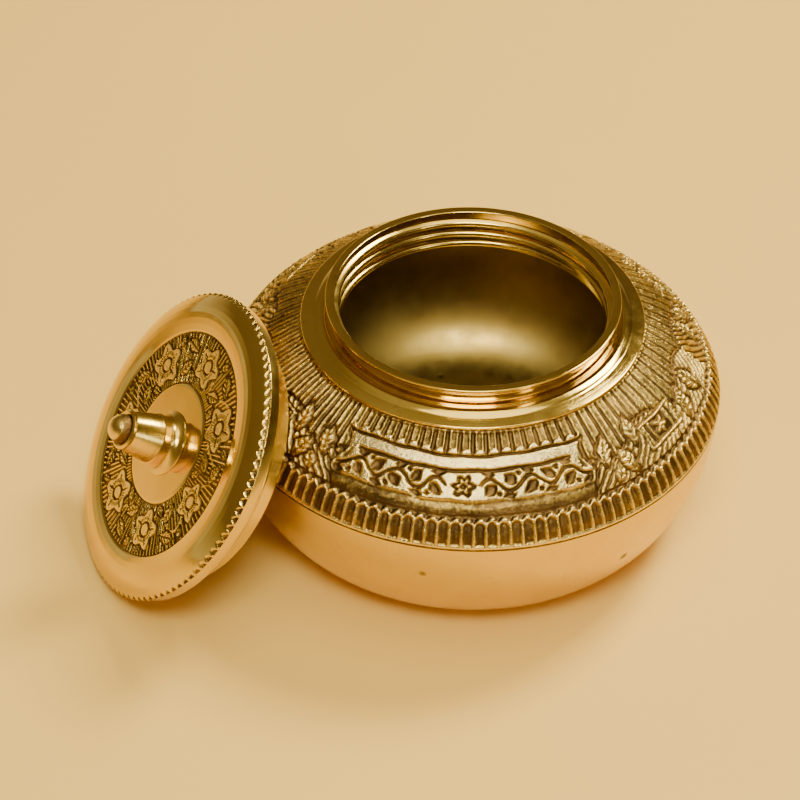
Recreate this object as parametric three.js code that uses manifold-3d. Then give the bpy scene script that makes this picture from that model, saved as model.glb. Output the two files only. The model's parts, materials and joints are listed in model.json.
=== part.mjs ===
// Small brass pot with a screw lid. Millimetres, +Z up, origin at the centre of the pot's flat base.
// The lid is off: it leans on the pot's shoulder, on the -X side, with its edge on the ground.
import * as THREE from 'three';
import * as BufferGeometryUtils from 'three/addons/utils/BufferGeometryUtils.js';
import Module from 'manifold-3d';

const wasm = await Module();
wasm.setup();

// Pot
const BELLY_RADIUS = 39;
const BELLY_HEIGHT = 22.2;
const BASE_RADIUS = 26;
const SEAM_HEIGHT = 21.2;
const SEAM_LAP = 1.8;
const WALL = 1.8;
const SHOULDER_RISE = 20.3;
const SHOULDER_POWER = 1.49;
const SEAT_HEIGHT = 33.8;
const SEAT_RADIUS = 26.3;
const RIM_HEIGHT = 38.3;
const RIM_RADIUS = 22.7;
const BORE_RADIUS = 21.3;
const COLLAR_RADIUS = 26.5;
const COLLAR_EDGE = 0.4;
const BEAD_OUTER_RADIUS = 23.9;
const BEAD_INNER_RADIUS = 23.1;
const BEAD_HEIGHT = 0.7;
const NECK_FOOT_RADIUS = 22.6;
const NECK_WAIST_RADIUS = 22.3;
const SPIGOT_RADIUS = 22.0;
const SPIGOT_BOTTOM = 31.5;
// Thread between the neck and the lid
const PITCH = 2.0;
const NECK_THREAD_CREST = 20.55;
const NECK_THREAD_TURNS = 2.75;
const NECK_THREAD_TOP = RIM_HEIGHT - 0.9;
const LID_THREAD_ROOT = 19.5;
const LID_THREAD_CREST = 20.1;
const LID_THREAD_TURNS = 1.75;
// Lid, measured from the face that seats on the neck's rim
const LID_BAND_RADIUS = 23.9;
const LID_EDGE_RADIUS = 24.3;
const BAND_HEIGHT = 1.7;
const COVER_EDGE_HEIGHT = 2.3;
const COVER_SLOPE_RADIUS = 23.4;
const COVER_SLOPE_HEIGHT = 2.85;
const COVER_BROW_RADIUS = 22.3;
const COVER_BROW_HEIGHT = 3.35;
const COVER_CREST_HEIGHT = 3.7;
const COVER_CREST_RADIUS = 20.6;
const COVER_INNER_RADIUS = 19.2;
const ORNAMENT_RADIUS = 17.9;
const DISC_RADIUS = 9.2;
const DISC_HEIGHT = 3.5;
const ORNAMENT_DEPTH = 0.3;
const PLUG_DEPTH = 5.0;
const PLUG_BORE_RADIUS = 18.0;
// Knob
const KNOB_BASE_RADIUS = 3.9;
const KNOB_FLARE_RADIUS = 5.2;
const KNOB_TIP_RADIUS = 2.9;
const TENON_RADIUS = 1.5;
const TENON_HEAD_RADIUS = 2.5;
const TENON_HEAD_HEIGHT = 0.5;
const WASHER_RADIUS = 4.2;
const WASHER_THICKNESS = 0.8;
const BALL_RADIUS = 2.3;
const BALL_HEIGHT = 11.6;
// Fits
const GAP = 0.3;
const SEGMENTS = 48;
const SMALL_SEGMENTS = 32;
const BALL_COLUMNS = 20;
const BALL_ROWS = 14;
// How the lid leans
const LEAN = THREE.MathUtils.degToRad(55.2);
const LEAN_REACH = 46.3;
const LEAN_HEIGHT = LID_BAND_RADIUS * Math.sin(LEAN);

function brass(color, roughness) {
  return new THREE.MeshStandardMaterial({ color, roughness, metalness: 1 });
}

const polished = 0xd4a85d;
const satin = 0xc89f58;
const patinated = 0x9a7440;

/** Turns a profile of [radius, height] pairs about the Z axis. */
function turned(profile, segments) {
  const points = profile.map(([radius, height]) => new THREE.Vector2(radius, height));
  const geometry = new THREE.LatheGeometry(points, segments);
  geometry.rotateX(Math.PI / 2);
  return geometry;
}

/** Heights spread evenly from one end to the other, both ends included. */
function steps(from, to, count) {
  return Array.from({ length: count + 1 }, (_, i) => from + ((to - from) * i) / count);
}

function toManifold(geometry) {
  const bare = geometry.clone();
  bare.deleteAttribute('normal');
  bare.deleteAttribute('uv');
  const merged = BufferGeometryUtils.mergeVertices(bare, 1e-5);
  return new wasm.Manifold(new wasm.Mesh({
    numProp: 3,
    vertProperties: new Float32Array(merged.attributes.position.array),
    triVerts: new Uint32Array(merged.index.array),
  }));
}

function fromManifold(manifold) {
  const mesh = manifold.getMesh();
  const geometry = new THREE.BufferGeometry();
  geometry.setAttribute('position', new THREE.BufferAttribute(mesh.vertProperties, 3));
  geometry.setIndex(new THREE.BufferAttribute(mesh.triVerts, 1));
  geometry.computeVertexNormals();
  return geometry;
}

/** Belly outline from the flat base up to the seam: part of an ellipse, inset by the wall. */
function bellyOutline(inset, count) {
  const bulge = BELLY_RADIUS - BASE_RADIUS;
  const depth = BELLY_HEIGHT - inset;
  const seamAngle = Math.asin((BELLY_HEIGHT - SEAM_HEIGHT) / depth);
  return steps(Math.PI / 2, seamAngle, count).map((angle) => [
    BASE_RADIUS - inset + bulge * Math.cos(angle),
    BELLY_HEIGHT - depth * Math.sin(angle),
  ]);
}

/** Shoulder outline above the widest line: a soft straight slope, inset by the wall. */
function shoulderRadius(height, inset) {
  const rise = Math.max(0, (height - BELLY_HEIGHT) / (SHOULDER_RISE - inset));
  return (BELLY_RADIUS - inset) * (1 - rise ** SHOULDER_POWER) ** (1 / SHOULDER_POWER);
}

/** A thread ridge: a tapered section swept along a right-hand helix that ends in points. */
function threadRidge(rootRadius, crestRadius, top, turns) {
  const rootHalf = 0.5;
  const crestHalf = 0.2;
  const stepsPerTurn = 32;
  const count = Math.round(turns * stepsPerTurn);
  const runOut = stepsPerTurn / 4;
  const positions = [];
  for (let i = 0; i <= count; i += 1) {
    const angle = (2 * Math.PI * i) / stepsPerTurn;
    const middle = top - turns * PITCH + (PITCH * i) / stepsPerTurn;
    const full = Math.min(1, (i + 0.5) / runOut, (count - i + 0.5) / runOut);
    const crest = rootRadius + (crestRadius - rootRadius) * full;
    const section = [
      [rootRadius, middle - rootHalf],
      [crest, middle - crestHalf],
      [crest, middle + crestHalf],
      [rootRadius, middle + rootHalf],
    ];
    for (const [radius, height] of section) {
      positions.push(radius * Math.cos(angle), radius * Math.sin(angle), height);
    }
  }
  const flip = crestRadius < rootRadius;
  const index = [];
  const triangle = (a, b, c) => index.push(...(flip ? [a, c, b] : [a, b, c]));
  for (let i = 0; i < count; i += 1) {
    for (let side = 0; side < 4; side += 1) {
      const a = 4 * i + side;
      const b = 4 * i + ((side + 1) % 4);
      triangle(a, a + 4, b);
      triangle(b, a + 4, b + 4);
    }
  }
  triangle(0, 1, 2);
  triangle(0, 2, 3);
  const last = 4 * count;
  triangle(last, last + 2, last + 1);
  triangle(last, last + 3, last + 2);
  const geometry = new THREE.BufferGeometry();
  geometry.setAttribute('position', new THREE.Float32BufferAttribute(positions, 3));
  geometry.setIndex(index);
  return geometry;
}

/** Spun lower bowl, with a thinner lip that laps inside the shoulder's lower edge. */
function bowl() {
  const outer = bellyOutline(0, 9);
  const lipRadius = BELLY_RADIUS - WALL / 2 - GAP / 2;
  const lipTop = SEAM_HEIGHT + SEAM_LAP;
  const inner = bellyOutline(WALL, 7).reverse();
  const lip = [
    [lipRadius, SEAM_HEIGHT],
    [lipRadius, lipTop],
    [BELLY_RADIUS - WALL, lipTop],
  ];
  const geometry = turned([[0, 0], ...outer, ...lip, ...inner, [0, WALL]], SEGMENTS);
  return new THREE.Mesh(geometry, brass(polished, 0.32));
}

/** Cast shoulder, from the seam at the belly to the flat seat under the collar. */
function shoulder() {
  const bottom = SEAM_HEIGHT + GAP;
  const lapTop = SEAM_HEIGHT + SEAM_LAP + GAP;
  const lapRadius = BELLY_RADIUS - WALL / 2 + GAP / 2;
  const outer = steps(BELLY_HEIGHT, SEAT_HEIGHT - 0.1, 9).map((z) => [shoulderRadius(z, 0), z]);
  const inner = steps(SEAT_HEIGHT - WALL, lapTop, 7).map((z) => [shoulderRadius(z, WALL), z]);
  const hole = SPIGOT_RADIUS + GAP;
  const profile = [
    [BELLY_RADIUS, bottom],
    ...outer,
    [SEAT_RADIUS - 0.1, SEAT_HEIGHT],
    [hole, SEAT_HEIGHT],
    [hole, SEAT_HEIGHT - WALL],
    ...inner,
    [lapRadius, lapTop],
    [lapRadius, bottom],
    [BELLY_RADIUS, bottom],
  ];
  return new THREE.Mesh(turned(profile, SEGMENTS), brass(patinated, 0.5));
}

/** Turned collar: a flange on the shoulder, a bead, the neck, and a spigot with the inside thread. */
function neckCollar() {
  const flangeBottom = SEAT_HEIGHT + GAP;
  const flangeTop = flangeBottom + COLLAR_EDGE;
  const beadTop = flangeTop + BEAD_HEIGHT;
  const profile = [
    [BORE_RADIUS, SPIGOT_BOTTOM],
    [SPIGOT_RADIUS, SPIGOT_BOTTOM],
    [SPIGOT_RADIUS, flangeBottom],
    [COLLAR_RADIUS, flangeBottom],
    [COLLAR_RADIUS, flangeTop],
    [BEAD_OUTER_RADIUS + 0.5, flangeTop + 0.3],
    [BEAD_OUTER_RADIUS, beadTop - 0.1],
    [BEAD_INNER_RADIUS, beadTop],
    [NECK_FOOT_RADIUS, beadTop - 0.2],
    [NECK_WAIST_RADIUS, beadTop - 0.2],
    [NECK_WAIST_RADIUS + 0.2, RIM_HEIGHT - 0.7],
    [RIM_RADIUS, RIM_HEIGHT - 0.3],
    [RIM_RADIUS, RIM_HEIGHT],
    [BORE_RADIUS, RIM_HEIGHT],
    [BORE_RADIUS, SPIGOT_BOTTOM],
  ];
  const embed = 0.3;
  const wall = toManifold(turned(profile, SEGMENTS));
  const ridge = toManifold(
    threadRidge(BORE_RADIUS + embed, NECK_THREAD_CREST, NECK_THREAD_TOP, NECK_THREAD_TURNS),
  );
  return new THREE.Mesh(fromManifold(wall.add(ridge)), brass(polished, 0.12));
}

/** Cast cover of the lid: a convex outer ring, a sunk ornament ring and a flat disc. */
function lidCover() {
  const bottom = BAND_HEIGHT + GAP;
  const hole = TENON_RADIUS + GAP;
  const sunk = DISC_HEIGHT - ORNAMENT_DEPTH;
  const profile = [
    [hole, bottom],
    [LID_EDGE_RADIUS - 0.1, bottom],
    [LID_EDGE_RADIUS, bottom + 0.1],
    [LID_EDGE_RADIUS, COVER_EDGE_HEIGHT],
    [COVER_SLOPE_RADIUS, COVER_SLOPE_HEIGHT],
    [COVER_BROW_RADIUS, COVER_BROW_HEIGHT],
    [COVER_CREST_RADIUS, COVER_CREST_HEIGHT],
    [COVER_INNER_RADIUS, COVER_CREST_HEIGHT - 0.1],
    [ORNAMENT_RADIUS, DISC_HEIGHT - 0.1],
    [ORNAMENT_RADIUS - 0.3, sunk],
    [DISC_RADIUS + 0.3, sunk],
    [DISC_RADIUS, DISC_HEIGHT],
    [hole, DISC_HEIGHT],
    [hole, bottom],
  ];
  return new THREE.Mesh(turned(profile, SEGMENTS), brass(satin, 0.22));
}

/** Turned ring under the cover: the plain band that seats on the rim, and the threaded plug. */
function lidThreadRing() {
  const profile = [
    [PLUG_BORE_RADIUS, -PLUG_DEPTH],
    [LID_THREAD_ROOT, -PLUG_DEPTH],
    [LID_THREAD_ROOT, 0],
    [LID_BAND_RADIUS, 0],
    [LID_BAND_RADIUS, BAND_HEIGHT],
    [PLUG_BORE_RADIUS, BAND_HEIGHT],
    [PLUG_BORE_RADIUS, -PLUG_DEPTH],
  ];
  const embed = 0.3;
  const neckThreadTop = NECK_THREAD_TOP - RIM_HEIGHT - GAP;
  const phase = (NECK_THREAD_TURNS - LID_THREAD_TURNS) * PITCH;
  const top = neckThreadTop - phase - PITCH / 2 + PITCH;
  const wall = toManifold(turned(profile, SEGMENTS));
  const ridge = toManifold(
    threadRidge(LID_THREAD_ROOT - embed, LID_THREAD_CREST, top, LID_THREAD_TURNS),
  );
  return new THREE.Mesh(fromManifold(wall.add(ridge)), brass(satin, 0.3));
}

/** Turned knob: flared foot, bright collar, tapered stem with a cup, and a peened tenon below. */
function knob() {
  const foot = DISC_HEIGHT + GAP;
  const washerBottom = BAND_HEIGHT - WASHER_THICKNESS;
  const headTop = washerBottom - GAP;
  const cup = BALL_RADIUS + GAP;
  const cupPoints = steps(90, 0, 6).map((degrees) => {
    const angle = THREE.MathUtils.degToRad(degrees);
    return [cup * Math.cos(angle), BALL_HEIGHT - cup * Math.sin(angle)];
  });
  const profile = [
    [0, headTop - TENON_HEAD_HEIGHT],
    [TENON_HEAD_RADIUS - 0.5, headTop - TENON_HEAD_HEIGHT + 0.1],
    [TENON_HEAD_RADIUS, headTop],
    [TENON_RADIUS, headTop],
    [TENON_RADIUS, foot],
    [KNOB_FLARE_RADIUS, foot],
    [KNOB_FLARE_RADIUS, foot + 0.3],
    [KNOB_BASE_RADIUS + 0.2, foot + 0.9],
    [KNOB_BASE_RADIUS, foot + 1.6],
    [KNOB_BASE_RADIUS - 0.15, foot + 2.1],
    [KNOB_TIP_RADIUS + 0.05, BALL_HEIGHT - 0.6],
    [KNOB_TIP_RADIUS, BALL_HEIGHT],
    ...cupPoints.reverse(),
  ];
  return new THREE.Mesh(turned(profile, SMALL_SEGMENTS), brass(polished, 0.15));
}

/** Washer that the knob's tenon is peened over, inside the lid. */
function knobWasher() {
  const top = BAND_HEIGHT;
  const bottom = BAND_HEIGHT - WASHER_THICKNESS;
  const bore = TENON_RADIUS + GAP;
  const profile = [
    [bore, bottom],
    [WASHER_RADIUS, bottom],
    [WASHER_RADIUS, top],
    [bore, top],
    [bore, bottom],
  ];
  return new THREE.Mesh(turned(profile, SMALL_SEGMENTS), brass(satin, 0.35));
}

/** Ball set in the cup at the knob's tip. */
function knobBall() {
  const geometry = new THREE.SphereGeometry(BALL_RADIUS, BALL_COLUMNS, BALL_ROWS);
  geometry.rotateX(Math.PI / 2);
  const mesh = new THREE.Mesh(geometry, brass(polished, 0.15));
  mesh.position.z = BALL_HEIGHT;
  return mesh;
}

function named(name, mesh) {
  mesh.name = name;
  return mesh;
}

const pot = new THREE.Group();
pot.add(named('bowl', bowl()));
pot.add(named('shoulder', shoulder()));
pot.add(named('neck_collar', neckCollar()));

const lid = new THREE.Group();
lid.add(named('lid_cover', lidCover()));
lid.add(named('lid_thread_ring', lidThreadRing()));
lid.add(named('knob', knob()));
lid.add(named('knob_washer', knobWasher()));
lid.add(named('knob_ball', knobBall()));
lid.position.set(-LEAN_REACH, 0, LEAN_HEIGHT);
lid.rotation.y = -LEAN;

const assembly = new THREE.Group();
assembly.add(pot, lid);

export default assembly;
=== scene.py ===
"""Looks of a small brass pot whose screw lid leans on its shoulder. Metres, in the frame of the CAD part.

Every piece is a turned outline or a thread. The relief of the shoulder and of the lid is a height field over
the outline's rows and columns. It moves the points, and tells the material where patina gathers."""
import json
import math

import bpy
import numpy as np
from mathutils import Matrix, Vector


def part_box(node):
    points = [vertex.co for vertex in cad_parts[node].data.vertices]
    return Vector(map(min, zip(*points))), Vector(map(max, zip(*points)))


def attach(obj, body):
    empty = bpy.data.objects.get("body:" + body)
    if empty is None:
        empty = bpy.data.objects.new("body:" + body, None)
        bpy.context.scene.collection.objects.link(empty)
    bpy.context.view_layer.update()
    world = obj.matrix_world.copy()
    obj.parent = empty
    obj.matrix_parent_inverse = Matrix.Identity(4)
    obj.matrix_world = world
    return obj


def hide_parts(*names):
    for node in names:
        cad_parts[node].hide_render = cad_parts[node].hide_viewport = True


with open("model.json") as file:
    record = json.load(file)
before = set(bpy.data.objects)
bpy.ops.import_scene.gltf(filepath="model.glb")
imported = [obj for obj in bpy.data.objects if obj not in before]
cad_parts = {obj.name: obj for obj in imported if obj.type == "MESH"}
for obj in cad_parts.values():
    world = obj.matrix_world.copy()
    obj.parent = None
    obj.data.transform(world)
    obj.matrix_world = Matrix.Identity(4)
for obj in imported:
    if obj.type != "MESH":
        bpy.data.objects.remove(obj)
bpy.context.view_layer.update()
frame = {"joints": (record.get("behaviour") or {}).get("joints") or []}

MM = 0.001
JOINTS = {joint["name"]: joint for joint in frame["joints"]}

# Pot sizes, from the CAD model
WALL = 1.8 * MM
SEAM_LAP = 1.8 * MM
SPIGOT_LENGTH = 6.8 * MM
BELLY_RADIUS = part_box("bowl")[1].x
SEAM_HEIGHT = (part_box("bowl")[1].z - SEAM_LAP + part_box("shoulder")[0].z) / 2
BELLY_HEIGHT = SEAM_HEIGHT + 0.85 * MM
BASE_RADIUS = 26 * MM
SHOULDER_RISE = 20.3 * MM
SHOULDER_POWER = 1.49
SEAT_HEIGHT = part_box("shoulder")[1].z
RIM_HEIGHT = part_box("neck_collar")[1].z
SPIGOT_BOTTOM = RIM_HEIGHT - SPIGOT_LENGTH
COLLAR_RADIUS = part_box("neck_collar")[1].x
RIM_RADIUS = 22.7 * MM
BORE_RADIUS = 21.3 * MM
SPIGOT_RADIUS = BORE_RADIUS + 0.7 * MM
THREAD_PITCH = 2.0 * MM
NECK_THREAD_CREST = 20.55 * MM
NECK_THREAD_TURNS = 2.75

# Lid sizes, measured from the face that seats on the neck
LID_BAND_RADIUS = 23.9 * MM
LID_EDGE_RADIUS = 24.3 * MM
BAND_HEIGHT = 1.7 * MM
PLUG_BORE_RADIUS = 18.0 * MM
PLUG_RADIUS = 19.5 * MM
PLUG_DEPTH = 5.0 * MM
LID_THREAD_CREST = 20.1 * MM
LID_THREAD_TURNS = 1.75
WASHER_RADIUS = 4.2 * MM
BALL_RADIUS = 2.3 * MM
BALL_HEIGHT = 11.6 * MM

# Relief of the shoulder. Angles are degrees, and levels are millimetres up the outline from the seam
PANEL_CENTRE = -112
PANEL_HALF = 34
REED_TOP = 4.9
FIELD_LOW = 7.7
FIELD_MIDDLE = 10.1
FIELD_HIGH = 12.3
BORDER_TOP = 14.6
SMALL_PANEL_ANGLE = 60
SMALL_PANEL_LEVEL = 9.3
RIB_COUNT = 92
REED_COUNT = 132
RELIEF_DEPTH = 0.7 * MM
# Each leaf: degrees from the panel's centre, level, lean in radians, size
LEAVES = [
    (39.5, 11.2, 1.25, 0.9), (45, 8.2, 1.9, 0.85), (41, 7.3, 1.1, 0.6),
    (50, 11.8, 1.4, 0.9), (72, 8.6, 1.2, 1.0), (80, 9.4, 1.9, 1.0),
]
OUTER_ROWS = 150

# Engraving of the lid. Radii are millimetres from its axis
RING_INNER = 9.3
RING_OUTER = 18.0
FLOWER_RADIUS = 13.6
LID_FLOWERS = 7
LID_NOTCHES = 100
NOTCH_RADIUS = 24.1
NOTCH_LEVEL = 2.05
ENGRAVING_DEPTH = 0.32 * MM
NOTCH_DEPTH = 0.28 * MM
# Each leaf: radians from its flower, distance from the axis, lean in radians, length
LID_LEAVES = [
    (0.42, 15.6, 1.1, 1.9), (0.47, 12.0, -0.9, 1.8),
    (0.27, 10.8, 0.5, 1.2), (-0.27, 16.4, -0.6, 1.1),
]
LID_TOP_ROWS = 210

# Points round a turned piece
RELIEF_COLUMNS = 1400
PLAIN_COLUMNS = 256
KNOB_COLUMNS = 128
SMALL_COLUMNS = 96

# Each light: name, azimuth and elevation in degrees, distance, width and height in metres, watts, colour
LIGHTS = [
    ("overhead", -60, 84, 0.9, 0.5, 0.5, 2.2, (1.0, 0.90, 0.66)),
    ("window", 24, 50, 0.95, 0.28, 0.28, 10.5, (1.0, 0.91, 0.66)),
    ("front", -111, 58, 0.8, 0.34, 0.19, 4.4, (1.0, 0.95, 0.80)),
    ("strip", -70, 24, 0.9, 0.10, 0.5, 1.0, (1.0, 0.96, 0.84)),
]


# ---------------------------------------------------------------- camera and stage

def direction(azimuth, elevation):
    """Unit vector at an azimuth about Z and an elevation above the floor, both in degrees."""
    a, e = math.radians(azimuth), math.radians(elevation)
    return Vector((math.cos(a) * math.cos(e), math.sin(a) * math.cos(e), math.sin(e)))


def add_camera():
    """A long lens, well above the pot on its -Y side. The pot stands right of the picture's middle."""
    toward = direction(-111, 40.46)
    distance = 449.3 * MM
    target = Vector((0, 0, 17.7 * MM))
    yaw, pitch, roll = math.radians(1.402), math.radians(-0.09), math.radians(1.957)
    data = bpy.data.cameras.new("camera")
    data.lens = 128.2
    data.sensor_width = 36
    data.clip_start = 0.01
    camera = bpy.data.objects.new("camera", data)
    bpy.context.scene.collection.objects.link(camera)
    look = (-toward).to_track_quat("-Z", "Y").to_matrix().to_4x4()
    aim = Matrix.Rotation(yaw, 4, "Y") @ Matrix.Rotation(pitch, 4, "X")
    turn = Matrix.Rotation(roll, 4, "Z")
    camera.matrix_world = Matrix.Translation(target + toward * distance) @ look @ aim @ turn
    bpy.context.scene.camera = camera


def add_light(name, azimuth, elevation, distance, width, height, watts, color):
    """A rectangular soft light that faces the pot."""
    data = bpy.data.lights.new(name, "AREA")
    data.shape = "RECTANGLE"
    data.size = width
    data.size_y = height
    data.energy = watts
    data.color = color
    light = bpy.data.objects.new(name, data)
    bpy.context.scene.collection.objects.link(light)
    place = direction(azimuth, elevation) * distance
    light.location = place
    light.rotation_euler = (-place).to_track_quat("-Z", "Y").to_euler()


def add_world():
    """Soft room light: cream at the horizon and overhead, brown between, and darker on the +X side."""
    world = bpy.data.worlds.new("room")
    world.use_nodes = True
    bpy.context.scene.world = world
    nodes, links = world.node_tree.nodes, world.node_tree.links
    coordinates = nodes.new("ShaderNodeTexCoord")
    split = nodes.new("ShaderNodeSeparateXYZ")
    ramp = nodes.new("ShaderNodeValToRGB")
    links.new(coordinates.outputs["Generated"], split.inputs[0])
    links.new(split.outputs["Z"], ramp.inputs["Fac"])
    links.new(ramp.outputs["Color"], nodes["Background"].inputs["Color"])
    stops = [
        (0.0, (1.05, 0.86, 0.60)), (0.10, (0.72, 0.56, 0.34)), (0.28, (0.26, 0.17, 0.08)),
        (0.75, (0.28, 0.20, 0.11)), (1.0, (0.75, 0.62, 0.38)),
    ]
    while len(ramp.color_ramp.elements) < len(stops):
        ramp.color_ramp.elements.new(0.5)
    for element, (position, color) in zip(ramp.color_ramp.elements, stops):
        element.position = position
        element.color = (*color, 1)
    shade = nodes.new("ShaderNodeMapRange")
    limits = {"From Min": 0.1, "From Max": 0.9, "To Min": 0.72, "To Max": 0.30}
    for socket, value in limits.items():
        shade.inputs[socket].default_value = value
    links.new(split.outputs["X"], shade.inputs["Value"])
    links.new(shade.outputs["Result"], nodes["Background"].inputs["Strength"])


# ---------------------------------------------------------------- materials

class Nodes:
    """Short names for building one material's node tree."""

    def __init__(self, name):
        self.material = bpy.data.materials.new(name)
        self.material.use_nodes = True
        self.tree = self.material.node_tree
        self.shader = self.tree.nodes["Principled BSDF"]
        self.coordinates = self.add("ShaderNodeAttribute", attribute_name="turned").outputs["Vector"]

    def add(self, kind, inputs=None, **settings):
        """Makes a node, and feeds each of its named inputs from a value or from another node's output."""
        node = self.tree.nodes.new(kind)
        for key, value in settings.items():
            setattr(node, key, value)
        for key, value in (inputs or {}).items():
            self.feed(node.inputs[key], value)
        return node

    def feed(self, socket, value):
        if isinstance(value, bpy.types.NodeSocket):
            self.tree.links.new(value, socket)
        else:
            socket.default_value = value

    def noise(self, scale, detail=3, roughness=0.6, vector=None):
        """Fractal noise from 0 to 1, with scale in features per metre."""
        place = vector or self.coordinates
        inputs = {"Vector": place, "Scale": scale, "Detail": detail, "Roughness": roughness}
        return self.add("ShaderNodeTexNoise", inputs).outputs["Fac"]

    def attribute(self, name):
        return self.add("ShaderNodeAttribute", attribute_name=name).outputs["Fac"]

    def remap(self, value, low, high, to_low=0.0, to_high=1.0):
        inputs = {"Value": value, "From Min": low, "From Max": high, "To Min": to_low, "To Max": to_high}
        return self.add("ShaderNodeMapRange", inputs).outputs["Result"]

    def math(self, operation, a, b):
        return self.add("ShaderNodeMath", {0: a, 1: b}, operation=operation).outputs[0]

    def stretch(self, scale):
        """The coordinates with each axis multiplied by its own scale."""
        inputs = {0: self.coordinates, 1: scale}
        return self.add("ShaderNodeVectorMath", inputs, operation="MULTIPLY").outputs[0]

    def mix(self, factor, a, b):
        """Colour a where factor is 0 and colour b where it is 1."""
        node = self.add("ShaderNodeMix", data_type="RGBA")
        self.feed(node.inputs[0], factor)
        self.feed(node.inputs[6], a)
        self.feed(node.inputs[7], b)
        return node.outputs[2]

    def bump(self, height, strength, distance, normal=None):
        inputs = {"Height": height, "Strength": strength, "Distance": distance}
        if normal:
            inputs["Normal"] = normal
        return self.add("ShaderNodeBump", inputs).outputs["Normal"]

    def radius(self):
        """Distance from the axis that the piece was turned about."""
        split = self.add("ShaderNodeSeparateXYZ", {0: self.coordinates})
        flat = self.add("ShaderNodeCombineXYZ", {"X": split.outputs["X"], "Y": split.outputs["Y"]})
        return self.add("ShaderNodeVectorMath", {0: flat.outputs[0]}, operation="LENGTH").outputs["Value"]


BRASS_LIGHT = (0.83, 0.60, 0.13, 1)
BRASS_WARM = (0.76, 0.52, 0.10, 1)
# bright brass for high relief: partly wear, partly a painted highlight
BRASS_WORN_HIGHLIGHT = (0.97, 0.79, 0.36, 1)
BRASS_DULL = (0.42, 0.26, 0.09, 1)
# dark patina in hollows, also drawn as painted shade and painted reflection where relief is 0
PATINA_AND_SHADE = (0.070, 0.035, 0.014, 1)
PATINA_AND_SHADE_WARM = (0.16, 0.085, 0.028, 1)
# painted shade colour for the bowl's inside
INSIDE_SHADE_BROWN = (0.12, 0.068, 0.028, 1)
FLOOR_CREAM = (0.93, 0.595, 0.13, 1)
FLOOR_PALE = (0.95, 0.615, 0.14, 1)


def brass_base(name, light, warm, rough_low, rough_high):
    """Brass with slow colour changes, faint smears in the roughness, and nothing in its relief yet."""
    n = Nodes(name)
    n.shader.inputs["Metallic"].default_value = 1.0
    cloud = n.remap(n.noise(90, 4), 0.35, 0.65)
    smear = n.noise(420, 5, 0.65)
    n.color = n.mix(cloud, light, warm)
    n.rough = n.remap(smear, 0.3, 0.75, rough_low, rough_high)
    return n


def finish_material(n, normal):
    """Wires the colour, roughness and normal that were built up into the shader."""
    n.feed(n.shader.inputs["Base Color"], n.color)
    n.feed(n.shader.inputs["Roughness"], n.rough)
    n.feed(n.shader.inputs["Normal"], normal)
    return n.material


def satin_brass():
    """The bowl: soft polish, faint turning lines, a few tiny pits, and painted shade inside that darkens
    upward.
    """
    n = brass_base("satin_brass", BRASS_LIGHT, BRASS_WARM, 0.26, 0.40)
    # painted shade: the bowl's inside is mixed toward a dark brown, more so higher up the wall, in noisy
    # patches
    inside = n.remap(n.attribute("relief"), 0.4, 0.6, 1.0, 0.0)
    height = n.add("ShaderNodeSeparateXYZ", {0: n.coordinates}).outputs["Z"]
    climb = n.remap(height, 3 * MM, 16 * MM, 0.45, 0.95)
    shade_mottle = n.remap(n.noise(70, 4), 0.3, 0.7, -0.15, 0.05)
    painted_shade_depth = n.math("ADD", climb, shade_mottle)
    n.color = n.mix(n.math("MULTIPLY", inside, painted_shade_depth), n.color, INSIDE_SHADE_BROWN)
    n.rough = n.math("ADD", n.rough, n.math("MULTIPLY", inside, 0.08))
    voronoi = n.add("ShaderNodeTexVoronoi", {"Vector": n.coordinates, "Scale": 95, "Randomness": 1.0})
    pit = n.remap(voronoi.outputs["Distance"], 0.05, 0.09, 1.0, 0.0)
    n.color = n.mix(n.math("MULTIPLY", pit, 0.85), n.color, PATINA_AND_SHADE)
    lines = n.noise(1.0, 2, vector=n.stretch((30, 30, 2600)))
    scratches = n.bump(lines, 0.10, 0.00006)
    waves = n.bump(n.noise(120, 1), 0.25, 0.00035, scratches)
    pits = n.bump(n.math("SUBTRACT", 1.0, pit), 0.6, 0.0002, waves)
    return finish_material(n, pits)


def polished_brass(name, rough_low, rough_high):
    """Turned and polished brass: rings of fine tool marks round the axis and a little tarnish."""
    n = brass_base(name, BRASS_LIGHT, BRASS_WARM, rough_low, rough_high)
    inputs = {"W": n.math("MULTIPLY", n.radius(), 5200.0), "Scale": 1.0, "Detail": 2}
    rings = n.add("ShaderNodeTexNoise", inputs, noise_dimensions="1D")
    tarnish = n.remap(n.noise(260, 5, 0.7), 0.56, 0.74, 0.0, 0.45)
    n.color = n.mix(tarnish, n.color, BRASS_DULL)
    marks = n.bump(rings.outputs["Fac"], 0.12, 0.00008)
    ripple = n.bump(n.noise(160, 1), 0.2, 0.00025, marks)
    return finish_material(n, ripple)


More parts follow.
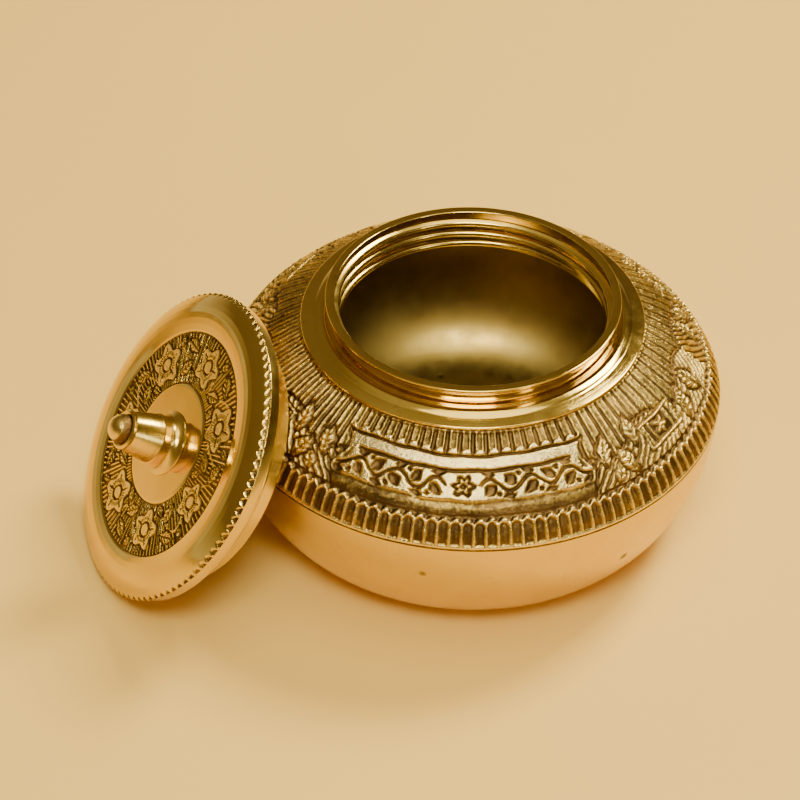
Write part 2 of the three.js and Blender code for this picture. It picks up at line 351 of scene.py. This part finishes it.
def relief_brass(name, grain, rough_low, rough_high, low_edge, high_edge):
    """Cast or engraved brass: worn bright on its highs, partly a painted highlight, dark patina in its lows,
    and a sandy skin where cast.
    Patina is full below the relief value low_edge and gone above high_edge; pieces that set relief 0 with no
    hollow get this dark as painted shade."""
    n = brass_base(name, BRASS_LIGHT, BRASS_WARM, rough_low, rough_high)
    height, skin = n.attribute("relief"), n.attribute("skin")
    sand = n.noise(grain, 4, 0.7)
    edge = n.math("ADD", height, n.remap(sand, 0.3, 0.7, -0.20, 0.20))
    patch = n.math("ADD", edge, n.remap(n.noise(150, 3), 0.3, 0.7, -0.12, 0.12))
    dark = n.math("MULTIPLY", n.remap(patch, low_edge, high_edge, 1.0, 0.0), skin)
    speck = n.math("MULTIPLY", n.remap(sand, 0.60, 0.70), skin)
    # bright on high relief: partly wear, partly a painted highlight
    worn_highlight = n.math("MULTIPLY", n.remap(height, 0.72, 0.92), skin)
    n.color = n.mix(n.math("MULTIPLY", worn_highlight, 0.7), n.color, BRASS_WORN_HIGHLIGHT)
    # the dark of patina in hollows, and painted shade where a piece sets relief 0 with no hollow
    tint = n.mix(n.remap(n.noise(240, 3), 0.4, 0.62), PATINA_AND_SHADE, PATINA_AND_SHADE_WARM)
    n.color = n.mix(n.math("MULTIPLY", speck, 0.5), n.color, BRASS_DULL)
    n.color = n.mix(n.math("MULTIPLY", dark, 0.95), n.color, tint)
    n.rough = n.math("ADD", n.rough, n.math("MULTIPLY", skin, 0.06))
    n.rough = n.math("ADD", n.rough, n.math("MULTIPLY", dark, 0.16))
    grains = n.bump(n.math("MULTIPLY", sand, skin), 0.55, 0.0003)
    pits = n.bump(n.math("MULTIPLY", n.noise(grain * 3.1, 2), skin), 0.4, 0.00012, grains)
    polish = n.bump(n.noise(170, 1), 0.12, 0.0002, pits)
    return finish_material(n, polish)


# ---------------------------------------------------------------- meshes

def make_mesh(name, points, faces, relief=None, skin=None):
    """A smooth mesh that carries what its material reads: the points as they were turned, relief and skin."""
    mesh = bpy.data.meshes.new(name)
    mesh.from_pydata(points.tolist(), [], faces)
    mesh.polygons.foreach_set("use_smooth", [True] * len(mesh.polygons))
    turned = mesh.attributes.new("turned", "FLOAT_VECTOR", "POINT")
    turned.data.foreach_set("vector", points.astype(np.float32).reshape(-1))
    for title, values in (("relief", relief), ("skin", skin)):
        layer = mesh.attributes.new(title, "FLOAT", "POINT")
        values = np.ones(len(points)) if values is None else values
        layer.data.foreach_set("value", values.astype(np.float32))
    mesh.validate()
    mesh.update()
    piece = bpy.data.objects.new(name, mesh)
    bpy.context.scene.collection.objects.link(piece)
    return piece


def spread(values, columns):
    """One value per row, repeated over all columns."""
    return np.repeat(values[:, None], columns, 1)


def grid_faces(rows, columns, wrap_rows):
    """Quads of a grid whose columns close on themselves, and whose rows do so too with wrap_rows."""
    last = rows if wrap_rows else rows - 1
    faces = []
    for i in range(last):
        a, b = i * columns, ((i + 1) % rows) * columns
        for j in range(columns):
            k = (j + 1) % columns
            faces.append((a + j, a + k, b + k, b + j))
    return faces


def revolve(name, profile, columns, bump=None, sharp=35):
    """Turns an [r, z] outline about Z. It closes on itself, or it starts and ends on the axis.
    bump(angles, body) gives how far each point moves along the outline's normal, its relief value (0 low
    to 1 high) and its skin value (0 smooth to 1 cast). Edges sharper than sharp degrees stay crisp."""
    outline = np.array(profile, float)
    on_axis = outline[0, 0] == 0
    body = outline[1:-1] if on_axis else outline
    angles = np.linspace(0, 2 * math.pi, columns, endpoint=False)
    rows = len(body)
    radius, height = spread(body[:, 0], columns), spread(body[:, 1], columns)
    relief, skin = np.ones((rows, columns)), np.ones((rows, columns))
    if bump:
        moves, relief, skin = bump(angles, body)
        tangent = np.roll(body, -1, 0) - np.roll(body, 1, 0)
        tangent /= np.maximum(np.linalg.norm(tangent, axis=1), 1e-12)[:, None]
        radius = radius + moves * tangent[:, 1][:, None]
        height = height - moves * tangent[:, 0][:, None]
    points = np.stack([radius * np.cos(angles), radius * np.sin(angles), height], -1).reshape(-1, 3)
    faces = grid_faces(rows, columns, not on_axis)
    relief, skin = relief.reshape(-1), skin.reshape(-1)
    if on_axis:
        ends = np.array([[0, 0, outline[0, 1]], [0, 0, outline[-1, 1]]])
        first, last = len(points), len(points) + 1
        points = np.vstack([points, ends])
        relief, skin = np.append(relief, relief[[0, -1]]), np.append(skin, skin[[0, -1]])
        top = (rows - 1) * columns
        for j in range(columns):
            k = (j + 1) % columns
            faces.append((first, k, j))
            faces.append((last, top + j, top + k))
    piece = make_mesh(name, points, faces, relief, skin)
    piece.data.set_sharp_from_angle(angle=math.radians(sharp))
    return piece


def even_rows(outline, count):
    """Points spaced evenly along an open outline."""
    arc = np.concatenate([[0], np.cumsum(np.hypot(*np.diff(outline, axis=0).T))])
    spots = np.linspace(0, arc[-1], count)
    return np.stack([np.interp(spots, arc, outline[:, 0]), np.interp(spots, arc, outline[:, 1])], -1)


def soften(points, cut, steps=4):
    """Rounds a closed outline's corners, each over at most cut along its two sides."""
    corners = [Vector(p) for p in points]
    count = len(corners)
    result = []
    for i, here in enumerate(corners):
        before, after = corners[i - 1] - here, corners[(i + 1) % count] - here
        a = here + before.normalized() * min(cut, before.length * 0.45)
        b = here + after.normalized() * min(cut, after.length * 0.45)
        for k in range(steps + 1):
            t = k / steps
            result.append(tuple(a * (1 - t) ** 2 + here * 2 * t * (1 - t) + b * t * t))
    return result


def helix(name, root, crest, top, turns, pitch, half_root, half_crest):
    """A thread ridge on a right-hand helix whose last turn ends at height top. It fades out at both ends."""
    per_turn = 120
    count = round(turns * per_turn)
    run_out = per_turn / 4
    points, faces = [], []
    for i in range(count + 1):
        angle = 2 * math.pi * i / per_turn
        middle = top - turns * pitch + pitch * i / per_turn
        full = min(1, (i + 0.5) / run_out, (count - i + 0.5) / run_out)
        peak = root + (crest - root) * full
        shoulder = root + (peak - root) * 0.8
        below = [(root, -half_root), (shoulder, -half_crest), (peak, -half_crest * 0.45)]
        section = below + [(r, -dz) for r, dz in below[::-1]]
        for r, dz in section:
            points.append((r * math.cos(angle), r * math.sin(angle), middle + dz))
    size = len(section)
    flip = crest < root
    for i in range(count):
        for side in range(size):
            a, b = size * i + side, size * i + (side + 1) % size
            quad = (a, a + size, b + size, b)
            faces.append(quad[::-1] if flip else quad)
    start, end = tuple(range(size)), tuple(range(size * count, size * count + size))
    faces += [start[::-1], end] if flip else [start, end[::-1]]
    piece = make_mesh(name, np.array(points), faces)
    piece.data.set_sharp_from_angle(angle=math.radians(50))
    return piece


def dress(piece, material, body, slot, *replaced):
    """Gives a piece its material and its body, and hides the CAD nodes that it stands for. The slot is not
    used.
    """
    piece.data.materials.append(material)
    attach(piece, body)
    if replaced:
        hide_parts(*replaced)


# ---------------------------------------------------------------- pot

def belly_outline(inset, count):
    """Quarter ellipse of the bowl from its foot to the seam."""
    bulge = BELLY_RADIUS - BASE_RADIUS
    depth = BELLY_HEIGHT - inset
    seam = math.asin((BELLY_HEIGHT - SEAM_HEIGHT) / depth)
    angles = np.linspace(math.pi / 2, seam, count)
    return [(BASE_RADIUS - inset + bulge * math.cos(a), BELLY_HEIGHT - depth * math.sin(a)) for a in angles]


def shoulder_radius(height, inset):
    """Radius of the shoulder's superellipse at a height."""
    rise = np.maximum(0, (height - BELLY_HEIGHT) / (SHOULDER_RISE - inset))
    return (BELLY_RADIUS - inset) * (1 - rise ** SHOULDER_POWER) ** (1 / SHOULDER_POWER)


def add_bowl(material):
    """The bowl, with a flat foot. Its relief value is 1 outside and 0 inside, where its material paints
    shade.
    """
    outer = belly_outline(0, 40)
    inner = belly_outline(WALL, 28)[::-1]
    profile = [(0, 0), (BASE_RADIUS * 0.5, 0), *outer, *inner, (BASE_RADIUS * 0.5, WALL), (0, WALL)]
    outside = len(outer) + 1

    def shade(angles, body):
        relief = spread((np.arange(len(body)) < outside).astype(float), len(angles))
        return 0, relief, relief

    dress(revolve("bowl_body", profile, PLAIN_COLUMNS, shade), material, "pot", "bowl_brass", "bowl")


def smooth_step(low, high, value):
    t = np.clip((value - low) / (high - low), 0, 1)
    return t * t * (3 - 2 * t)


def ridge(distance, half_width):
    """A rounded ridge: 1 on its line, falling to 0 at half_width."""
    return np.sqrt(np.clip(1 - (distance / half_width) ** 2, 0, 1))


def oval(x, y, angle, length, width):
    """A pointed oval: 1 at its middle, 0 outside."""
    along = x * math.cos(angle) + y * math.sin(angle)
    across = y * math.cos(angle) - x * math.sin(angle)
    taper = np.sqrt(np.clip(1.05 - np.abs(along / length), 0.05, 1))
    return ridge(np.hypot(along / length, across / (width * taper)), 1.0)


def vine_frieze(x, y):
    """Cut lines of a vine that runs both ways from a rosette. x and y are millimetres, and 1 is cut."""
    wave = 6.4
    reach = np.hypot(x, y)
    angle = np.arctan2(y, x)
    rosette = ridge(reach - 1.55 * (0.78 + 0.22 * np.cos(6 * angle)), 0.3) + ridge(reach, 0.55)
    side = np.abs(x) - 2.6
    stem_y = 0.95 * np.sin(2 * math.pi * side / wave)
    cut = ridge(y - stem_y, 0.3) * (side > 0)
    step = np.floor(side / (wave / 2))
    local = side - (step + 0.5) * wave / 2
    up = np.where(step % 2 == 0, 1.0, -1.0)
    inner = y * up
    leaf = oval(local - 0.1, inner + 0.75, 0.75, 1.35, 0.95)
    second = oval(local + 0.2, inner - 1.75, -0.2, 1.15, 0.6)
    berry = ridge(np.hypot(local - 1.35, inner + 1.45), 0.42)
    shapes = np.maximum(np.maximum(leaf, second), berry) * (side > 0.2)
    return np.clip(np.maximum(np.maximum(cut, shapes), rosette), 0, 1)


def soft_cast(height):
    """Rounds off a height field a little, as casting does."""
    height = height * 0.5 + (np.roll(height, 1, 1) + np.roll(height, -1, 1)) * 0.25
    padded = np.pad(height, ((1, 1), (0, 0)), "edge")
    return height * 0.5 + (padded[2:] + padded[:-2]) * 0.25


def ribs(phase, count):
    """Flat radial ribs with raised edges on a low ground."""
    wave = np.abs(np.sin(phase * count / 2))
    return 0.18 + 0.74 * smooth_step(0.42, 0.60, wave) - 0.42 * smooth_step(0.70, 0.93, wave)


def hatched_ribs(u, v, away, wobble):
    """Long ribs from the collar down, over a slanted hatch."""
    hatch_line = (away * 37 * 0.85 - v * 0.8) / 1.25 + wobble
    hatch = 0.22 + 0.62 * smooth_step(0.35, 0.75, np.abs(np.sin(hatch_line * math.pi)))
    foot = 11.3 + 1.5 * np.cos(away * 13) + wobble
    rib_zone = smooth_step(foot - 0.2, foot + 0.3, v)
    height = hatch * (1 - rib_zone) + ribs(u + 0.004 * wobble, RIB_COUNT) * rib_zone
    return height - 0.5 * ridge(v - foot, 0.35)


def lay_leaves(height, away, v):
    """Leaves beside the friezes."""
    for centre, level, lean, size in LEAVES:
        x = (away - math.radians(centre)) * 35
        y = v - level
        leaf = oval(x, y, lean, 2.9 * size, 1.5 * size)
        bounds = oval(x, y, lean, 3.4 * size, 1.95 * size)
        along = x * math.cos(lean) + y * math.sin(lean)
        across = np.abs(y * math.cos(lean) - x * math.sin(lean))
        side_veins = ridge(np.mod(along - across * 0.9, 1.05) - 0.5, 0.16) * (across > 0.2)
        veins = np.maximum(ridge(across, 0.18), side_veins)
        height = np.where(bounds > 0, 0.12, height)
        height = np.where(leaf > 0, 0.5 + 0.45 * leaf - 0.42 * veins, height)
    return height


def lay_small_panels(height, away, v):
    """Small framed panels between the friezes, each with a flower and bars."""
    x = (away - math.radians(SMALL_PANEL_ANGLE)) * 36
    y = v - SMALL_PANEL_LEVEL
    inside = -np.maximum(np.abs(x) - 4.6, np.abs(y) - 2.1)
    reach, angle = np.hypot(x, y), np.arctan2(y, x)
    petals = ridge(reach, 1.75 * (0.7 + 0.3 * np.cos(5 * angle + 0.6)))
    flower = petals * (reach > 0.5) + ridge(reach, 0.4)
    bars = ridge(np.mod(x, 1.5) - 0.75, 0.45) * (np.abs(x) > 2.1)
    panel = 0.18 + 0.7 * np.clip(np.maximum(flower, bars), 0, 1) * (inside > 0.55)
    panel = np.maximum(panel, 0.9 * ridge(inside - 0.2, 0.3))
    return np.where(inside > -0.25, panel, height)


def lay_friezes(height, u, v, swing, radius, wobble):
    """The long front and back friezes: a vine field between plain strips, and teeth above."""
    edge = (math.radians(PANEL_HALF) - np.abs(swing)) * radius + 0.5 * np.sin(v * 0.9)
    in_panel = smooth_step(-0.1, 0.25, edge)
    strip = 0.42 + 0.1 * np.sin(v * 3)
    field = 0.86 - 0.8 * vine_frieze(swing * 35, v - FIELD_MIDDLE) * smooth_step(0.4, 0.9, edge)
    field_zone = smooth_step(FIELD_LOW - 0.35, FIELD_LOW + 0.45, v + 0.25 * wobble)
    panel = strip * (1 - field_zone) + field * field_zone
    border_zone = smooth_step(FIELD_HIGH, FIELD_HIGH + 0.15, v)
    panel = panel * (1 - border_zone) + 0.9 * border_zone
    line_reach = smooth_step(1.6, 2.2, edge)
    panel = panel - 0.75 * ridge(v - FIELD_HIGH - 0.05, 0.3) * line_reach
    panel = panel - 0.8 * ridge(v - BORDER_TOP, 0.28)
    tooth = np.abs(np.sin(u * (RIB_COUNT / 2)))
    tooth_height = (v - BORDER_TOP - 0.2) / 0.9
    tooth_up = smooth_step(tooth_height - 0.12, tooth_height + 0.12, tooth)
    top = np.maximum(ribs(u, RIB_COUNT) * 0.8, 0.98 * tooth_up * (tooth_height < 1))
    panel = np.where(v > BORDER_TOP + 0.2, top, panel)
    height = height * (1 - in_panel) + panel * in_panel
    return height - 0.55 * ridge(edge + 0.15, 0.35) * (v < BORDER_TOP + 0.3)


def lay_reeding(height, u, v, wobble):
    """A groove, the reeding with its arched caps, and the bead on the seam."""
    height = np.where(v < REED_TOP + 0.75, 0.12, height)
    wave = np.abs(np.cos(u * (REED_COUNT / 2)))
    wall = smooth_step(0.84, 0.98, wave)
    cap_line = REED_TOP + wobble - 0.75 * wave ** 4
    cap = ridge(v - cap_line, 0.36)
    ground = 0.20 + 0.22 * (1 - wave)
    reeds = np.maximum(ground + 0.68 * wall, cap)
    height = np.where((v > 0.95) & (v < cap_line + 0.42), reeds, height)
    return np.maximum(height, 0.95 * ridge(v - 0.55, 0.5))


def shoulder_relief(angles, body):
    """Relief of the cast shoulder. v is the level in millimetres up the outline, and u is the angle."""
    steps = np.hypot(np.diff(body[:, 0], append=body[-1, 0]), np.diff(body[:, 1], append=body[-1, 1]))
    length = np.concatenate([[0], np.cumsum(steps)[:-1]]) / MM
    outer = (np.arange(len(body)) < OUTER_ROWS)[:, None]
    total = length[OUTER_ROWS - 1]
    v = spread(length, len(angles))
    u = np.repeat(angles[None, :], len(body), 0)
    radius = spread(body[:, 0], len(angles)) / MM

    # the front and the back are alike: swing is the angle from the middle of the nearer one
    turn = (u - math.radians(PANEL_CENTRE) + math.pi) % (2 * math.pi) - math.pi
    half_turn = np.round(turn / math.pi)
    swing = turn - half_turn * math.pi

    # waves that make the casting's lines a little uneven above the reeding
    wobble = 0.10 * np.sin(u * 17 + 1.3 * v) + 0.07 * np.sin(u * 41 - 0.9 * v)
    inner_part = smooth_step(REED_TOP, REED_TOP + 1.5, v)
    rise = 0.12 * np.sin(u * 9 + 0.5) + 0.08 * np.sin(u * 29 + 0.8 * v)
    v = v + inner_part * smooth_step(0, 1.5, total - v) * rise
    swing = swing + (0.16 * np.sin(u * 23 + 1.1 * v) + 0.09 * np.sin(u * 57 - 1.9 * v)) / 36 * inner_part
    away = np.abs(swing)

    height = hatched_ribs(u, v, away, wobble)
    height = lay_leaves(height, away, v)
    height = lay_small_panels(height, away, v)
    height = lay_friezes(height, u, v, swing, radius, wobble)
    height = lay_reeding(height, u, v, wobble)
    height = soft_cast(np.clip(height, 0, 1))

    fade = smooth_step(0, 0.25, v) * smooth_step(total, total - 0.3, v)
    moves = np.where(outer, (height - 0.85) * RELIEF_DEPTH * fade, 0)
    # the inside rows get relief 0, which their material paints dark as shade inside the pot
    relief = np.where(outer, height, 0.0)
    return moves, relief, np.ones(relief.shape)


def add_shoulder(material):
    """The cast upper shell, with its relief outside and a plain inside painted dark as shade."""
    heights = SEAM_HEIGHT + (SEAT_HEIGHT - SEAM_HEIGHT) * np.linspace(0, 1, 600)
    outer = even_rows(np.stack([shoulder_radius(heights, 0), heights], -1), OUTER_ROWS)
    inner_heights = np.linspace(SEAT_HEIGHT - WALL, SEAM_HEIGHT, 16)
    inner = [(float(shoulder_radius(z, WALL)), float(z)) for z in inner_heights]
    seat = [(SPIGOT_RADIUS, SEAT_HEIGHT), (SPIGOT_RADIUS, SEAT_HEIGHT - WALL)]
    profile = [*map(tuple, outer), *seat, *inner]
    piece = revolve("shoulder_relief", profile, RELIEF_COLUMNS, shoulder_relief, sharp=180)
    dress(piece, material, "pot", "shoulder_brass", "shoulder")


def add_collar(material, thread_material):
    """The turned neck: spigot, flange, bead, waist, rim and the inside thread."""
    bottom = SEAT_HEIGHT + 0.02 * MM
    edge = bottom + 0.65 * MM
    bead = edge + 0.75 * MM
    points = [
        (BORE_RADIUS, SPIGOT_BOTTOM),
        (SPIGOT_RADIUS, SPIGOT_BOTTOM),
        (SPIGOT_RADIUS, bottom),
        (COLLAR_RADIUS, bottom),
        (COLLAR_RADIUS, edge),
        (24.6 * MM, edge + 0.28 * MM),
        (24.2 * MM, bead - 0.25 * MM),
        (23.6 * MM, bead),
        (22.9 * MM, bead - 0.02 * MM),
        (22.5 * MM, bead - 0.4 * MM),
        (22.2 * MM, bead - 0.4 * MM),
        (22.25 * MM, bead + 0.1 * MM),
        (22.5 * MM, RIM_HEIGHT - 0.8 * MM),
        (RIM_RADIUS, RIM_HEIGHT - 0.35 * MM),
        (RIM_RADIUS, RIM_HEIGHT),
        (BORE_RADIUS, RIM_HEIGHT),
    ]
    ring = revolve("neck_ring", soften(points, 0.18 * MM), PLAIN_COLUMNS)
    dress(ring, material, "pot", "collar_brass", "neck_collar")
    root, top = BORE_RADIUS + 0.2 * MM, RIM_HEIGHT - 0.9 * MM
    half_root, half_crest = 0.62 * MM, 0.42 * MM
    thread = helix(
        "neck_thread", root, NECK_THREAD_CREST, top, NECK_THREAD_TURNS, THREAD_PITCH, half_root, half_crest
    )
    dress(thread, thread_material, "pot", "collar_brass")


# ---------------------------------------------------------------- lid

def lid_matrix():
    """Place of the lid at rest: its seating centre and axis are those of the joint that it turns on."""
    joint = JOINTS["lid_turn"]
    centre, axis = Vector(joint["pos_m"]), Vector(joint["axis"]).normalized()
    lean = math.atan2(-axis.x, axis.z)
    return Matrix.Translation(centre) @ Matrix.Rotation(-lean, 4, "Y")


def lay_lid_flower(pattern, x, y, k):
    """One engraved flower, number k, with the leaves round it."""
    angle = 2 * math.pi * k / LID_FLOWERS + 0.2
    cx, cy = FLOWER_RADIUS * math.cos(angle), FLOWER_RADIUS * math.sin(angle)
    reach, way = np.hypot(x - cx, y - cy), np.arctan2(y - cy, x - cx)
    size = 3.3 + 0.35 * math.sin(k * 2.4)
    lobes = size * (0.84 + 0.16 * np.cos(5 * way + k))
    pattern = np.where(reach < lobes + 0.35, 0.1, pattern)
    cuts = np.abs(np.sin(2.5 * way + k / 2)) * reach
    petals = np.clip(0.95 - 0.8 * ridge(cuts, 0.32) * (reach > 1.2) * (reach < size * 0.8), 0, 1)
    petals = np.where(np.abs(reach - 1.15) < 0.22, 0.1, petals)
    ray_wave = np.mod(way * 6 * 5 / (2 * math.pi), 1) - 0.5
    rays = ridge(ray_wave, 0.22) * (reach > 1.6) * (reach < size * 0.62)
    pattern = np.where(reach < lobes, petals - 0.5 * rays, pattern)
    for turn, out, lean, length in LID_LEAVES:
        a = angle + turn
        lx, ly = x - out * math.cos(a), y - out * math.sin(a)
        leaf = oval(lx, ly, a + lean, length, length * 0.48)
        rim = oval(lx, ly, a + lean, length + 0.4, length * 0.48 + 0.4)
        along = lx * math.cos(a + lean) + ly * math.sin(a + lean)
        across = np.abs(ly * math.cos(a + lean) - lx * math.sin(a + lean))
        side_veins = ridge(np.mod(along - across, 0.8) - 0.4, 0.14) * (across > 0.15)
        veins = np.maximum(ridge(across, 0.15), side_veins)
        pattern = np.where((rim > 0) & (reach > lobes), 0.08, pattern)
        pattern = np.where((leaf > 0) & (reach > lobes), 0.9 - 0.7 * veins, pattern)
    return pattern


def lid_relief(angles, body):
    """Relief of the lid's cover: engraved ring of flowers and leaves, and notched edge."""
    radius, level_mm = spread(body[:, 0], len(angles)) / MM, spread(body[:, 1], len(angles)) / MM
    u = np.repeat(angles[None, :], len(body), 0)
    top = (np.arange(len(body)) < LID_TOP_ROWS)[:, None]
    band = smooth_step(RING_INNER, RING_INNER + 0.3, radius)
    band = band * smooth_step(RING_OUTER, RING_OUTER - 0.3, radius)
    x, y = radius * np.cos(u), radius * np.sin(u)

    lines = np.abs(np.sin(u * 62 + 0.5 * np.sin(u * 5)))
    pattern = 0.12 + 0.72 * smooth_step(0.80, 0.97, lines)
    vines = ridge(radius - 13.4 - 2.1 * np.sin(u * 9), 0.3)
    pattern = np.maximum(pattern, 0.85 * vines)
    for k in range(LID_FLOWERS):
        pattern = lay_lid_flower(pattern, x, y, k)
    border = (np.abs(radius - RING_INNER - 0.25) < 0.2) | (np.abs(radius - RING_OUTER + 0.25) < 0.2)
    pattern = np.where(border, 0.1, pattern)
    level = np.where(top, 1 - band + pattern * band, 1)
    moves = np.where(top, (level - 1) * ENGRAVING_DEPTH, 0)

    pitch = 2 * math.pi * NOTCH_RADIUS / LID_NOTCHES
    arc = ((u * LID_NOTCHES / (2 * math.pi)) % 1 - 0.5) * pitch
    notch = 1 - smooth_step(0.50, 0.68, np.hypot(arc, (level_mm - NOTCH_LEVEL) * 0.95))
    notch = notch * (radius > 23.2)
    moves = moves - notch * NOTCH_DEPTH
    level = level - 0.7 * notch
    skin = np.clip(band * top * (1 - 0.65 * smooth_step(0.7, 0.85, pattern)) + notch, 0, 1)
    return moves, level, skin


def reversed_lid_relief(angles, body):
    """Relief of the lid's outline when it runs from its underside to its middle."""
    return [values[::-1] for values in lid_relief(angles, body[::-1])]


def add_lid_cover(material, place):
    """The cover: flat disc, engraved ring, convex ring and notched edge, with a hole for the knob's tenon."""
    bottom = 1.75 * MM
    hole = 1.55 * MM
    disc = [(1.6, 3.55), (5.0, 3.55), (9.0, 3.53)]
    ring = [(9.6, 3.50), (13.5, 3.48), (17.6, 3.50)]
    crest = [(18.1, 3.56), (19.0, 3.68), (20.0, 3.75), (20.9, 3.73), (21.8, 3.57)]
    slope = [(22.6, 3.30), (23.3, 2.98), (23.8, 2.70), (24.1, 2.48), (24.3, 2.25)]
    outer = even_rows(np.array(disc + ring + crest + slope) * MM, LID_TOP_ROWS)
    wall = [(LID_EDGE_RADIUS, float(z)) for z in np.linspace(2.2, 1.85, 5) * MM]
    profile = [*map(tuple, outer), *wall, (LID_EDGE_RADIUS - 0.1 * MM, bottom), (hole, bottom)]
    piece = revolve("lid_top", profile[::-1], RELIEF_COLUMNS, reversed_lid_relief, sharp=180)
    piece.data.transform(place)
    dress(piece, material, "lid", "lid_brass", "lid_cover")


def add_lid_ring(material, place):
    """The plain band under the cover, and the threaded plug that screws into the neck."""
    points = [
        (PLUG_BORE_RADIUS, -PLUG_DEPTH),
        (PLUG_RADIUS, -PLUG_DEPTH),
        (PLUG_RADIUS, 0),
        (LID_BAND_RADIUS, 0),
        (LID_BAND_RADIUS, BAND_HEIGHT),
        (PLUG_BORE_RADIUS, BAND_HEIGHT),
    ]
    ring = revolve("lid_ring", soften(points, 0.15 * MM), PLAIN_COLUMNS)
    ring.data.transform(place)
    dress(ring, material, "lid", "ring_brass", "lid_thread_ring")
    root, top = PLUG_RADIUS - 0.2 * MM, -0.7 * MM
    half_root, half_crest = 0.55 * MM, 0.35 * MM
    thread = helix(
        "lid_thread", root, LID_THREAD_CREST, top, LID_THREAD_TURNS, THREAD_PITCH, half_root, half_crest
    )
    thread.data.transform(place)
    dress(thread, material, "lid", "ring_brass")


def add_knob(material, place):
    """The knob: tenon with its peened head, flared foot, collar, taper, lip, and a cup for the ball."""
    tenon = [(0, 0.1), (2.0, 0.15), (2.45, 0.55), (1.5, 0.6), (1.5, 3.58)]
    flare = [(5.1, 3.58), (5.05, 3.78), (4.7, 3.95), (4.25, 4.3), (3.98, 4.8), (3.9, 5.5), (3.9, 6.1)]
    collar = [(4.02, 6.2), (4.02, 6.4)]
    taper = [(3.86, 6.5), (3.68, 7.4), (3.45, 8.6), (3.2, 9.8), (3.0, 10.9)]
    lip = [(3.08, 11.05), (3.08, 11.35), (2.95, 11.5), (2.7, 11.6)]
    outside = [(r * MM, z * MM) for r, z in tenon + flare + collar + taper + lip]
    cup_radius = BALL_RADIUS + 0.08 * MM
    angles = np.linspace(0.05, math.pi / 2, 14)
    cup = [(cup_radius * math.cos(a), BALL_HEIGHT - cup_radius * math.sin(a)) for a in angles]
    cup[-1] = (0, BALL_HEIGHT - cup_radius)
    piece = revolve("knob_stem", [*outside, *cup], KNOB_COLUMNS)
    piece.data.transform(place)
    dress(piece, material, "lid_knob", "knob_brass", "knob")


def add_washer(material, place):
    """The washer under the cover that the tenon's head holds."""
    hole, bottom, top = 1.6 * MM, 0.92 * MM, 1.68 * MM
    points = [(hole, bottom), (WASHER_RADIUS, bottom), (WASHER_RADIUS, top), (hole, top)]
    piece = revolve("tenon_washer", soften(points, 0.15 * MM), SMALL_COLUMNS)
    piece.data.transform(place)
    dress(piece, material, "lid_knob", "ring_brass", "knob_washer")


def add_ball(material, place):
    """The knob's ball tip, bright at its end and painted dark over the rest as a painted dark reflection."""
    angles = np.linspace(-math.pi / 2, math.pi / 2, 33)
    profile = [(BALL_RADIUS * math.cos(a), BALL_RADIUS * math.sin(a)) for a in angles]
    profile[0], profile[-1] = (0, -BALL_RADIUS), (0, BALL_RADIUS)

    def shade(angles, body):
        # relief 0 below 1 mm over the ball's middle: the material paints it dark there as a painted
        # reflection
        relief = smooth_step(1.0, 1.5, spread(body[:, 1], len(angles)) / MM)
        return 0, relief, 1 - relief * 0.8

    piece = revolve("knob_tip", profile, SMALL_COLUMNS, shade)
    piece.data.transform(place @ Matrix.Translation((0, 0, BALL_HEIGHT)))
    dress(piece, material, "lid_grip", "knob_brass", "knob_ball")


# ---------------------------------------------------------------- floor

def add_floor():
    """A plain pale floor, far wider than what the camera sees."""
    n = Nodes("pale_floor")
    n.feed(n.shader.inputs["Base Color"], n.mix(n.noise(14, 2), FLOOR_CREAM, FLOOR_PALE))
    n.shader.inputs["Roughness"].default_value = 0.6
    n.shader.inputs["Specular IOR Level"].default_value = 0.3
    size = 2.5
    corners = np.array([(-size, -size, 0), (size, -size, 0), (size, size, 0), (-size, size, 0)])
    floor = make_mesh("floor", corners, [(0, 1, 2, 3)])
    floor.data.materials.append(n.material)


add_camera()
add_world()
for light in LIGHTS:
    add_light(*light)
add_floor()

# the order: grain, lowest and highest roughness, lowest and highest edge of the patina and painted shade
cast_brass = relief_brass("cast_brass", 1300, 0.10, 0.22, 0.40, 0.88)
engraved_brass = relief_brass("engraved_brass", 1100, 0.07, 0.15, 0.25, 0.70)
collar_brass = polished_brass("collar_polish", 0.07, 0.17)
thread_brass = polished_brass("thread_polish", 0.14, 0.26)
knob_brass = polished_brass("knob_polish", 0.16, 0.28)

add_bowl(satin_brass())
add_shoulder(cast_brass)
add_collar(collar_brass, thread_brass)
lid_place = lid_matrix()
add_lid_cover(engraved_brass, lid_place)
add_lid_ring(thread_brass, lid_place)
add_knob(knob_brass, lid_place)
add_washer(thread_brass, lid_place)
add_ball(relief_brass("tip_brass", 1500, 0.14, 0.24, 0.3, 0.6), lid_place)
